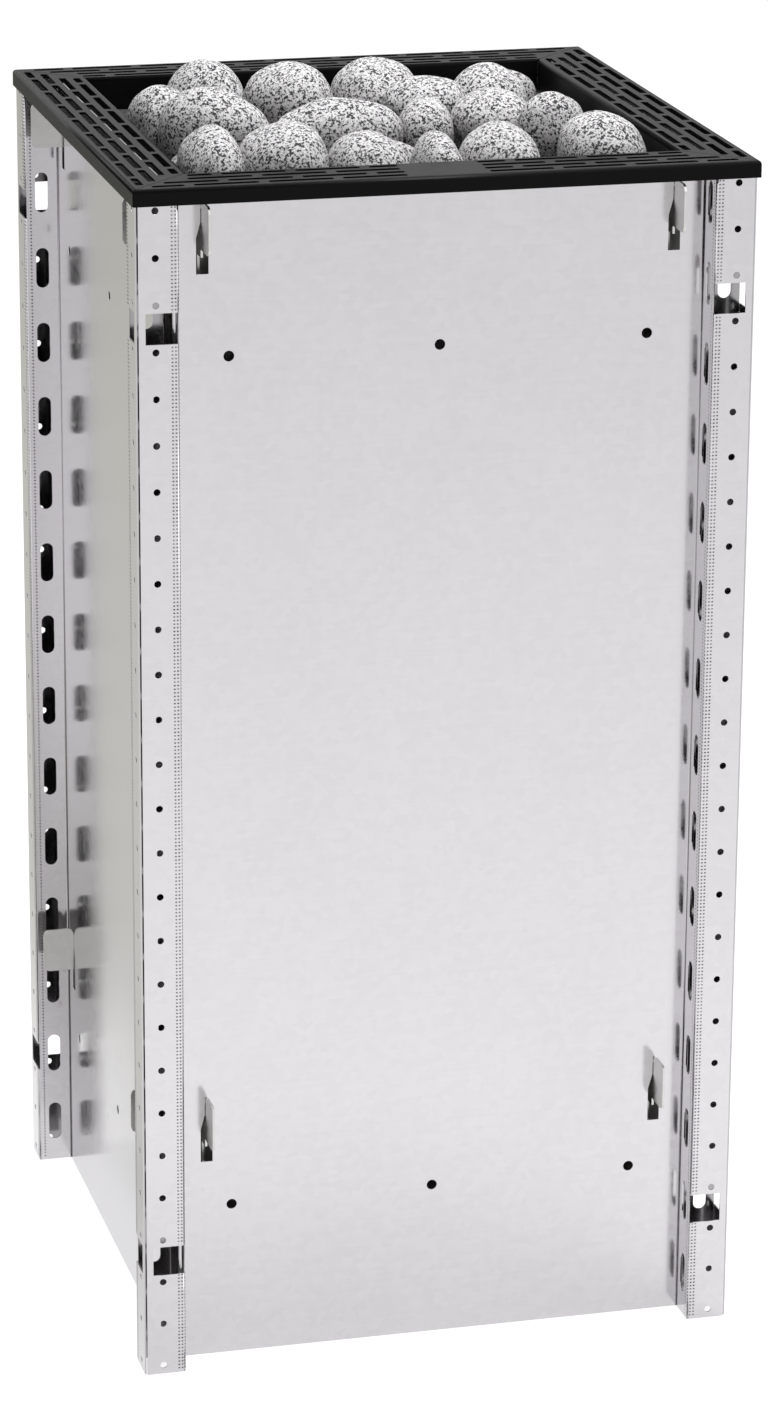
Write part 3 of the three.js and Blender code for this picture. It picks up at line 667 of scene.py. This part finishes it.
def build_bead_line():
    tree, inputs, outputs = start_group(
        "GeometryNodeTree", "bead line",
        [
            ("Line", GEOMETRY, None), ("Start", VECTOR, None), ("Step", VECTOR, None), ("Count", COUNT, 1),
            ("Bead Radius", FLOAT, 0.0005), ("Bead Shape", VECTOR, None), ("Finish", MATERIAL, None),
        ],
        [("Beads", GEOMETRY)],
    )
    line = add_node(tree, "GeometryNodeMeshLine")
    ball = add_node(tree, "GeometryNodeMeshIcoSphere", {"Subdivisions": 1})
    beads = add_node(tree, "GeometryNodeInstanceOnPoints")
    real = add_node(tree, "GeometryNodeRealizeInstances")
    finish = add_node(tree, "GeometryNodeSetMaterial")
    join(tree, inputs, "Count", line, "Count")
    join(tree, inputs, "Start", line, "Start Location")
    join(tree, inputs, "Step", line, "Offset")
    join(tree, inputs, "Bead Radius", ball, "Radius")
    join(tree, line, "Mesh", beads, "Points")
    join(tree, ball, "Mesh", beads, "Instance")
    join(tree, inputs, "Bead Shape", beads, "Scale")
    join(tree, beads, "Instances", real, "Geometry")
    join(tree, real, "Geometry", finish, "Geometry")
    join(tree, inputs, "Finish", finish, "Material")
    join(tree, finish, "Geometry", outputs, "Beads")
    return tree


BEAD_LINE = build_bead_line()
print("tree:", BEAD_LINE.name)


# %% Bead lines of one fold
def bead_line(across, out, shape):
    return run_trees(bpy.data.meshes.new("line"), (BEAD_LINE, {
        "Start": Vector((across, -out, FIRST_BEAD)) * MM, "Step": Vector((0, 0, BEAD_PITCH)) * MM,
        "Count": int((CASING_TOP - BEAD_MARGIN) / BEAD_PITCH), "Bead Radius": BEAD_RADIUS * MM,
        "Bead Shape": shape, "Finish": SHADED_BEAD_ZINC,
    }))


def beads_beside_windows(points, faces):
    kept = []
    for face in faces:
        height = points[face[0]].z / MM
        if not any(low - 1 < height < high + 1 for low, high in WINDOWS):
            kept.append(face)
    used = sorted({i for face in kept for i in face})
    order = {old: new for new, old in enumerate(used)}
    return [points[i] for i in used], [[order[i] for i in face] for face in kept]


BEADS = [bead_line(WEB_FACE, WEB_BEADS, WEB_BEAD)]
FLANGE_LINES = [bead_line(WEB_FACE + BEND_BEADS, FLANGE_FACE - BEND_BEADS, BEND_BEAD)]
FLANGE_LINES += [bead_line(column, FLANGE_FACE, FLANGE_BEAD) for column in BEAD_COLUMNS]
BEADS += [beads_beside_windows(*line) for line in FLANGE_LINES]
print("bead faces per fold:", sum(len(faces) for points, faces in BEADS))

# %% Four casing sheets
SIDES = ("front", "right", "back", "left")
NEARLY_LEVEL = 0.999


def thicken(piece, thickness):
    solid = piece.modifiers.new("thickness", "SOLIDIFY")
    solid.thickness = thickness * MM
    solid.offset = -1
    solid.use_even_offset = True
    keep_result(piece)


def paint_inner_shade(mesh, outer_points):
    # Painted shade: every point of the inner side takes the full darker colour.
    for mark in list(mesh.attributes[PAINTED_SHADE].data)[outer_points:]:
        mark.value = 1.0


def smooth_round_faces(mesh):
    for face in mesh.polygons:
        face.use_smooth = max(abs(c) for c in face.normal) < NEARLY_LEVEL


def add_shells(mesh, parts):
    shell = bmesh.new()
    shell.from_mesh(mesh)
    for points, faces in parts:
        corners = [shell.verts.new(p) for p in points]
        for face in faces:
            shell.faces.new([corners[i] for i in face])
    shell.to_mesh(mesh)
    shell.free()


def dress(piece, node, body, finish):
    piece.data.materials.clear()
    piece.data.materials.append(finish)
    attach(piece, body)
    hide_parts(node)


for turn, side in enumerate(SIDES):
    casing = new_piece(f"{side}_casing_sheet", CASING_SURFACE.copy())
    outer_points = len(casing.data.vertices)
    thicken(casing, SHEET)
    paint_inner_shade(casing.data, outer_points)
    smooth_round_faces(casing.data)
    beads = new_piece(f"{side}_fold_beads", bpy.data.meshes.new("beads"))
    add_shells(beads.data, BEADS + [mirrored(line) for line in BEADS])
    beads.data.materials.append(SHADED_BEAD_ZINC)
    for piece in (casing, beads):
        piece.data.transform(Matrix.Rotation(turn * math.pi / 2, 4, "Z"))
    dress(casing, f"{side}_casing", "stove", CASING_ZINC)
    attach(beads, "stove")
    print(casing.name, len(casing.data.polygons), "faces,", len(beads.data.polygons), "bead faces")

# %% [markdown]
# ## Slots of the rim
# The rim's flat top has four rows of narrow slots laid like bricks. They shorten where they meet the mitred
# corners, and at the middle of the front bar where a plain land is left. A list of slots could be typed,
# but the rule is short: set slots along a row, clip each one to its limits, and drop what is too short.
# The tree measures from the middle, so one rule does both ends of the bar.

# %% The rim row tree
SLOT_CORNER_POINTS = 3


def build_rim_row():
    tree, inputs, outputs = start_group(
        "GeometryNodeTree", "rim row",
        [
            ("Outline", GEOMETRY, None), ("Start", VECTOR, None), ("Step", VECTOR, None), ("Count", COUNT, 1),
            ("Slot Length", FLOAT, 0.04), ("Slot Width", FLOAT, 0.005), ("Corner Radius", FLOAT, 0.001),
            ("Limit", FLOAT, 0.2), ("Land", FLOAT, 0.0), ("Shortest", FLOAT, 0.008),
        ],
        [("Outline", GEOMETRY)],
    )

    def maths(operation, first, second):
        node = add_node(tree, "ShaderNodeMath", operation=operation)
        for i, value in enumerate((first, second)):
            if isinstance(value, float):
                node.inputs[i].default_value = value
            elif value is not None:
                tree.links.new(value, node.inputs[i])
        return node.outputs["Value"]

    line = add_node(tree, "GeometryNodeMeshLine")
    spot = add_node(tree, "GeometryNodeInputPosition")
    parts = add_node(tree, "ShaderNodeSeparateXYZ")
    join(tree, inputs, "Count", line, "Count")
    join(tree, inputs, "Start", line, "Start Location")
    join(tree, inputs, "Step", line, "Offset")
    join(tree, spot, "Position", parts, "Vector")
    away = maths("ABSOLUTE", parts.outputs["X"], None)
    half = maths("MULTIPLY", inputs.outputs["Slot Length"], 0.5)
    begin = maths("MAXIMUM", maths("SUBTRACT", away, half), inputs.outputs["Land"])
    end = maths("MINIMUM", maths("ADD", away, half), inputs.outputs["Limit"])
    length = maths("SUBTRACT", end, begin)
    middle = maths("MULTIPLY", maths("ADD", begin, end), 0.5)
    across = maths("MULTIPLY", middle, maths("SIGN", parts.outputs["X"], None))
    centre = add_node(tree, "ShaderNodeCombineXYZ")
    tree.links.new(across, centre.inputs["X"])
    join(tree, parts, "Y", centre, "Y")
    size = add_node(tree, "ShaderNodeCombineXYZ", {"Z": 1.0})
    tree.links.new(length, size.inputs["X"])
    join(tree, inputs, "Slot Width", size, "Y")
    keep = maths("GREATER_THAN", length, inputs.outputs["Shortest"])
    measured = add_node(tree, "GeometryNodeStoreNamedAttribute", {"Name": "size"}, data_type="FLOAT_VECTOR")
    kept = add_node(tree, "GeometryNodeStoreNamedAttribute", {"Name": "keep"}, data_type="BOOLEAN")
    moved = add_node(tree, "GeometryNodeSetPosition")
    size_read = add_node(tree, "GeometryNodeInputNamedAttribute", {"Name": "size"}, data_type="FLOAT_VECTOR")
    keep_read = add_node(tree, "GeometryNodeInputNamedAttribute", {"Name": "keep"}, data_type="BOOLEAN")
    join(tree, line, "Mesh", measured, "Geometry")
    join(tree, size, "Vector", measured, "Value")
    join(tree, measured, "Geometry", kept, "Geometry")
    tree.links.new(keep, kept.inputs["Value"])
    join(tree, kept, "Geometry", moved, "Geometry")
    join(tree, centre, "Vector", moved, "Position")
    unit = add_node(tree, "GeometryNodeCurvePrimitiveQuadrilateral", {"Width": 1.0, "Height": 1.0})
    slots = add_node(tree, "GeometryNodeInstanceOnPoints")
    real = add_node(tree, "GeometryNodeRealizeInstances")
    corners = {"Count": SLOT_CORNER_POINTS, "Limit Radius": True}
    rounded = add_node(tree, "GeometryNodeFilletCurve", corners, mode="POLY")
    edges = add_node(tree, "GeometryNodeCurveToMesh")
    both = add_node(tree, "GeometryNodeJoinGeometry")
    join(tree, moved, "Geometry", slots, "Points")
    join(tree, unit, "Curve", slots, "Instance")
    join(tree, keep_read, "Attribute", slots, "Selection")
    join(tree, size_read, "Attribute", slots, "Scale")
    join(tree, slots, "Instances", real, "Geometry")
    join(tree, real, "Geometry", rounded, "Curve")
    join(tree, inputs, "Corner Radius", rounded, "Radius")
    join(tree, rounded, "Curve", edges, "Curve")
    join(tree, edges, "Mesh", both, "Geometry")
    join(tree, inputs, "Outline", both, "Geometry")
    join(tree, both, "Geometry", outputs, "Outline")
    return tree


RIM_ROW = build_rim_row()
print("tree:", RIM_ROW.name)

# %% [markdown]
# ## Rim bars
# Each bar is a shallow channel: a skirt down into the opening, the slotted top and a lip over the posts, with
# soft bends between them. Its ends are cut at 45 degrees against the next bar. Four row trees in a stack
# add their slots to the outline of the top, and the punched blank fills it. The strips beside it follow the
# channel's profile, and after Solidify every point past the mitre is pulled back to it. Two flat strips close
# the channel from below, so the slots look black: the lip's return and a ledge on the skirt.

# %% Sizes of the rim, in millimetres
RIM_HALF, RIM_TOP, RIM_BAR, RIM_SHEET = 203.5, 800.0, 43.5, 1.5
RIM_INNER = RIM_HALF - RIM_BAR
LIP_FOOT, SKIRT_FOOT = 789.0, 780.0
RIM_BEND, MITRE_GAP = 2.5, 0.45
RETURN_HALF, RETURN_EDGE = 173.6, 178.8
LEDGE_EDGE, LEDGE_FOOT = 176.6, 787.7
ROW_PLACES, ROW_SLOTS = (7.5, 17.0, 26.5, 36.0), 11
SLOT_LENGTH, SLOT_WIDTH, SLOT_PITCH, SLOT_CORNER = 41.5, 5.0, 47.5, 1.4
SLOT_EDGE, SHORTEST_SLOT = 3.5, 8.0
FRONT_LAND = 52.0
print("rim:", 2 * RIM_HALF, "mm wide, opening", 2 * RIM_INNER, "mm")


# %% Four rim bars
def rim_profile():
    skirt = [(RIM_INNER, SKIRT_FOOT)]
    skirt += bend_points((RIM_INNER + RIM_BEND, RIM_TOP - RIM_BEND), RIM_BEND, 180, -90)
    lip = bend_points((RIM_HALF - RIM_BEND, RIM_TOP - RIM_BEND), RIM_BEND, 90, -90)
    return skirt, lip + [(RIM_HALF, LIP_FOOT)]


def rim_strip(profile):
    points, faces = [], []
    for n, z in profile:
        reach = n - MITRE_GAP
        points += [Vector((-reach, -n, z)) * MM, Vector((reach, -n, z)) * MM]
    faces += [[2 * i, 2 * i + 2, 2 * i + 3, 2 * i + 1] for i in range(len(profile) - 1)]
    return points, faces


def mitred_corners(near, far):
    wide, narrow = far - MITRE_GAP, near - MITRE_GAP
    return [(-wide, -far), (wide, -far), (narrow, -near), (-narrow, -near)]


def rim_top(land):
    corners = mitred_corners(RIM_INNER + RIM_BEND, RIM_HALF - RIM_BEND)
    stack = []
    for row, place in enumerate(ROW_PLACES):
        middle = RIM_HALF - place
        first = -(ROW_SLOTS // 2) + 0.5 * (row % 2)
        stack.append((RIM_ROW, {
            "Start": Vector((first * SLOT_PITCH, -middle, 0)) * MM, "Step": Vector((SLOT_PITCH, 0, 0)) * MM,
            "Count": ROW_SLOTS - row % 2, "Slot Length": SLOT_LENGTH * MM, "Slot Width": SLOT_WIDTH * MM,
            "Corner Radius": SLOT_CORNER * MM, "Limit": (middle - SLOT_WIDTH / 2 - SLOT_EDGE) * MM,
            "Land": (land / 2 if land else -SLOT_LENGTH / 2) * MM, "Shortest": SHORTEST_SLOT * MM,
        }))
    stack.append((PUNCHED_BLANK, {"Count": 0, "Finish": BLACK_COAT}))
    points, faces = run_trees(outline_mesh([corners]), *stack)
    return [Vector((p.x, p.y, RIM_TOP * MM)) for p in points], faces


def flat_strip(corners, foot):
    points = [Vector((x, y, z)) * MM for z in (foot, foot + RIM_SHEET) for x, y in corners]
    sides = [[i, (i + 1) % 4, (i + 1) % 4 + 4, i + 4] for i in range(4)]
    return points, [[3, 2, 1, 0], [4, 5, 6, 7]] + sides


def rim_bar(name, land):
    skirt, lip = rim_profile()
    piece = new_piece(name, weld(name, [rim_top(land), rim_strip(skirt), rim_strip(lip)]))
    thicken(piece, RIM_SHEET)
    for vertex in piece.data.vertices:
        reach = -vertex.co.y - MITRE_GAP * MM
        vertex.co.x = max(-reach, min(reach, vertex.co.x))
    smooth_round_faces(piece.data)
    half, far, near = RETURN_HALF, RIM_HALF - RIM_SHEET / 2, RETURN_EDGE
    lip_return = [(-half, -far), (half, -far), (half, -near), (-half, -near)]
    ledge = mitred_corners(RIM_INNER + RIM_SHEET / 2, LEDGE_EDGE)
    add_shells(piece.data, [flat_strip(lip_return, LIP_FOOT), flat_strip(ledge, LEDGE_FOOT)])
    return piece


for turn, side in enumerate(SIDES):
    bar = rim_bar(f"{side}_rim_bar", FRONT_LAND if side == "front" else 0.0)
    bar.data.transform(Matrix.Rotation(turn * math.pi / 2, 4, "Z"))
    dress(bar, f"{side}_rim", "rim", BLACK_COAT)
    print(bar.name, len(bar.data.polygons), "faces")

# %% [markdown]
# ## Stones
# River-worn granite is never a true ellipsoid: it has flats and swellings a finger wide. Each stone starts
# as a copy of its CAD solid, which already lies in the right place. Its corners are merged, Subdivision
# Surface rounds it, and smooth noise pushes the skin in and out by a millimetre or two. Three waves are added
# up, each with a height in millimetres and a fineness: swellings, lumps and pits. The noise starts from
# a different place for each stone, so no two are alike and every run gives the same stones.

# %% Round and roughen the stones
STONE_ROUNDING = 4
WIDE_ANGLE = math.radians(60)
SEED_STEP = (3.7, 1.9, 5.3)
SKIN_WAVES = ((2.2, 28), (0.8, 75), (0.12, 400))


def fit_to_box(mesh, low, high):
    corners = [[f(v.co[k] for v in mesh.vertices) for k in range(3)] for f in (min, max)]
    for vertex in mesh.vertices:
        for k in range(3):
            share = (vertex.co[k] - corners[0][k]) / (corners[1][k] - corners[0][k])
            vertex.co[k] = low[k] + share * (high[k] - low[k])


def stone_mesh(node):
    shell = bmesh.new()
    shell.from_mesh(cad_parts[node].data)
    bmesh.ops.remove_doubles(shell, verts=shell.verts, dist=WELD_REACH * MM)
    angles = {"angle_face_threshold": WIDE_ANGLE, "angle_shape_threshold": WIDE_ANGLE}
    bmesh.ops.join_triangles(shell, faces=shell.faces, **angles)
    mesh = bpy.data.meshes.new(node)
    shell.to_mesh(mesh)
    shell.free()
    return mesh


def river_stone(node, seed, finish):
    stone = new_piece(f"{node}_granite", stone_mesh(node))
    rounding = stone.modifiers.new("rounding", "SUBSURF")
    rounding.levels = rounding.render_levels = STONE_ROUNDING
    keep_result(stone)
    mesh = stone.data
    start = Vector([seed * step for step in SEED_STEP])
    for vertex, normal in zip(mesh.vertices, [n.vector.copy() for n in mesh.vertex_normals]):
        waves = [height * noise.noise(vertex.co * fineness + start) for height, fineness in SKIN_WAVES]
        vertex.co += normal * sum(waves) * MM
    fit_to_box(mesh, *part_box(node))
    for face in mesh.polygons:
        face.use_smooth = True
    dress(stone, node, "stove", finish)


stones = sorted(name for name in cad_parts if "_stone_" in name)
for seed, node in enumerate(stones):
    river_stone(node, seed, TOP_GRANITE if node.startswith("top") else SHADED_LOWER_GRANITE)
print("stones:", len(stones))

# %% [markdown]
# ## Heating elements
# Six hairpins of steel tube stand under the grate. The CAD solids have six-sided tubes, which is enough for
# collisions but not for a highlight. A curve with a round bevel is the shortest way to a smooth tube. It is
# turned into a mesh so that its finish can follow the piece.

# %% Six hairpins
TUBE_RADIUS = 4.25 * MM
TUBE_ROUNDING = 4
CROWN_POINTS = 16


def hairpin(node):
    low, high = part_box(node)
    middle = (low.x + high.x) / 2
    radius = (high.y - low.y) / 2 - TUBE_RADIUS
    crown = high.z - TUBE_RADIUS - radius
    path = [(middle, -radius, low.z)]
    for i in range(CROWN_POINTS + 1):
        angle = math.pi * i / CROWN_POINTS
        path.append((middle, -radius * math.cos(angle), crown + radius * math.sin(angle)))
    path.append((middle, radius, low.z))
    curve = bpy.data.curves.new(node, "CURVE")
    curve.dimensions = "3D"
    curve.bevel_depth = TUBE_RADIUS
    curve.bevel_resolution = TUBE_ROUNDING
    curve.use_fill_caps = True
    spline = curve.splines.new("POLY")
    spline.points.add(len(path) - 1)
    for point, place in zip(spline.points, path):
        point.co = (*place, 1)
    worker = new_piece("worker", curve)
    mesh = evaluated_mesh(worker)
    bpy.data.objects.remove(worker)
    for face in mesh.polygons:
        face.use_smooth = len(face.vertices) == 4
    return new_piece(f"{node}_tube", mesh)


elements = sorted(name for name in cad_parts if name.startswith("heating_element_"))
for node in elements:
    dress(hairpin(node), node, "stove", ELEMENT_TUBE)
print("elements:", len(elements))

# %% [markdown]
# ## Inner sheets and fittings
# The container walls, the grate, the plates, the terminal box and the gland are flat sheet or short turned
# parts, and their CAD solids already have the right shape. Making them again would add nothing, so they
# stay and only take a finish.

# %% Finishes for the solids that stay
FINISHES = {
    CONTAINER_STEEL: [f"{side}_container_wall" for side in SIDES] + ["front_grate_rail", "back_grate_rail"],
    GRATE_STEEL: ["stone_grate"],
    INNER_PLATE: ["element_plate", "element_spacer", "base_pan", "terminal_box", "terminal_cover"],
    CERAMIC: ["terminal_block"],
    GLAND_PLASTIC: ["cable_gland", "gland_nut"],
}
for finish, nodes in FINISHES.items():
    for node in nodes:
        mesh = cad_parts[node].data
        mesh.materials.clear()
        mesh.materials.append(finish)
    print(finish.name, len(nodes))

# %% [markdown]
# ## Floor, surroundings and light
# The photograph stands on plain white. A very bright lamp could burn the floor out, but it would wash out the
# zinc too. Instead the floor and the world look white only to camera, mirror and glass rays, and light
# the stove at a plain level. The floor's white is part glow and part lit surface, so a soft shadow stays.
# In the studio the left side faced something duller, so mirror rays find a warm grey floor on that side.

# %% Floor
PURE_WHITE, MIRRORED_WHITE = (1, 1, 1), (0.88, 0.88, 0.88)
NEAR_DULL, FAR_DULL = (0.285, 0.285, 0.245), (0.43, 0.43, 0.375)
LEFT_EDGE = {"From Min": -0.2, "From Max": -0.3}
FRONT_EDGE = {"From Min": -1.1, "From Max": -0.2}
DULL_REACH = {"From Min": 0.4, "From Max": 2.2}
FLOOR_REACH, FLOOR_DROP = 30.0, 0.2 * MM
PLAIN_FLOOR, LIT_FLOOR, FLOOR_GLOW = (0.8, 0.8, 0.8, 1), (0.48, 0.48, 0.48, 1), 0.9


def seen_directly(tree):
    rays = add_node(tree, "ShaderNodeLightPath")
    either = add_node(tree, "ShaderNodeMath", operation="MAXIMUM")
    seen = add_node(tree, "ShaderNodeMath", operation="MAXIMUM")
    join(tree, rays, "Is Camera Ray", either, 0)
    join(tree, rays, "Is Glossy Ray", either, 1)
    join(tree, either, "Value", seen, 0)
    join(tree, rays, "Is Transmission Ray", seen, 1)
    return seen


def floor_glow(tree):
    place = add_node(tree, "ShaderNodeTexCoord")
    parts = add_node(tree, "ShaderNodeSeparateXYZ")
    left = add_node(tree, "ShaderNodeMapRange", LEFT_EDGE)
    behind = add_node(tree, "ShaderNodeMapRange", FRONT_EDGE)
    far = add_node(tree, "ShaderNodeMapRange", DULL_REACH)
    both = add_node(tree, "ShaderNodeMath", operation="MULTIPLY")
    rays = add_node(tree, "ShaderNodeLightPath")
    join(tree, place, "Object", parts, "Vector")
    join(tree, parts, "X", left, "Value")
    join(tree, parts, "Y", behind, "Value")
    join(tree, parts, "Y", far, "Value")
    join(tree, left, "Result", both, 0)
    join(tree, behind, "Result", both, 1)
    darker_tone = mix_colours(tree, far.outputs["Result"], NEAR_DULL, FAR_DULL)
    mirrored_floor = mix_colours(tree, both.outputs["Value"], MIRRORED_WHITE, darker_tone)
    return mix_colours(tree, rays.outputs["Is Glossy Ray"], PURE_WHITE, mirrored_floor)


def floor_white():
    material = bpy.data.materials.new("white floor")
    material.use_nodes = True
    tree = material.node_tree
    tree.nodes.clear()
    plain = add_node(tree, "ShaderNodeBsdfDiffuse", {"Color": PLAIN_FLOOR})
    lit = add_node(tree, "ShaderNodeBsdfDiffuse", {"Color": LIT_FLOOR})
    glow = add_node(tree, "ShaderNodeEmission", {"Strength": FLOOR_GLOW})
    white = add_node(tree, "ShaderNodeAddShader")
    mix = add_node(tree, "ShaderNodeMixShader")
    result = add_node(tree, "ShaderNodeOutputMaterial")
    tree.links.new(floor_glow(tree), glow.inputs["Color"])
    join(tree, lit, 0, white, 0)
    join(tree, glow, 0, white, 1)
    join(tree, seen_directly(tree), "Value", mix, 0)
    join(tree, plain, 0, mix, 1)
    join(tree, white, 0, mix, 2)
    join(tree, mix, 0, result, "Surface")
    return material


def make_floor():
    mesh = bpy.data.meshes.new("floor")
    signs = ((-1, -1), (1, -1), (1, 1), (-1, 1))
    mesh.from_pydata([(x * FLOOR_REACH, y * FLOOR_REACH, -FLOOR_DROP) for x, y in signs], [], [(0, 1, 2, 3)])
    floor = new_piece("floor", mesh)
    mesh.materials.append(floor_white())
    return floor


print("floor:", make_floor().name)

# %% World and lamps
WORLD_LEVELS = {"To Min": 0.26, "To Max": 1.0}


def make_world():
    world = bpy.data.worlds.new("white room")
    bpy.context.scene.world = world
    world.use_nodes = True
    tree = world.node_tree
    background = tree.nodes["Background"]
    background.inputs["Color"].default_value = (*PURE_WHITE, 1)
    level = add_node(tree, "ShaderNodeMapRange", WORLD_LEVELS)
    join(tree, seen_directly(tree), "Value", level, "Value")
    join(tree, level, "Result", background, "Strength")


def soft_lamp(name, place, aim, size, power):
    lamp = bpy.data.lights.new(name, "AREA")
    lamp.shape = "DISK"
    lamp.size = size
    lamp.energy = power
    holder = bpy.data.objects.new(name, lamp)
    bpy.context.collection.objects.link(holder)
    holder.location = place
    direction = Vector(aim) - Vector(place)
    holder.rotation_euler = direction.to_track_quat("-Z", "Y").to_euler()


make_world()
soft_lamp("key lamp", (1.2, -2.0, 2.6), (0, 0, 0.6), size=1.4, power=8)
soft_lamp("top lamp", (0.3, 0.3, 2.8), (0, 0, 0.8), size=1.2, power=53)
bpy.context.scene.view_settings.view_transform = "Standard"
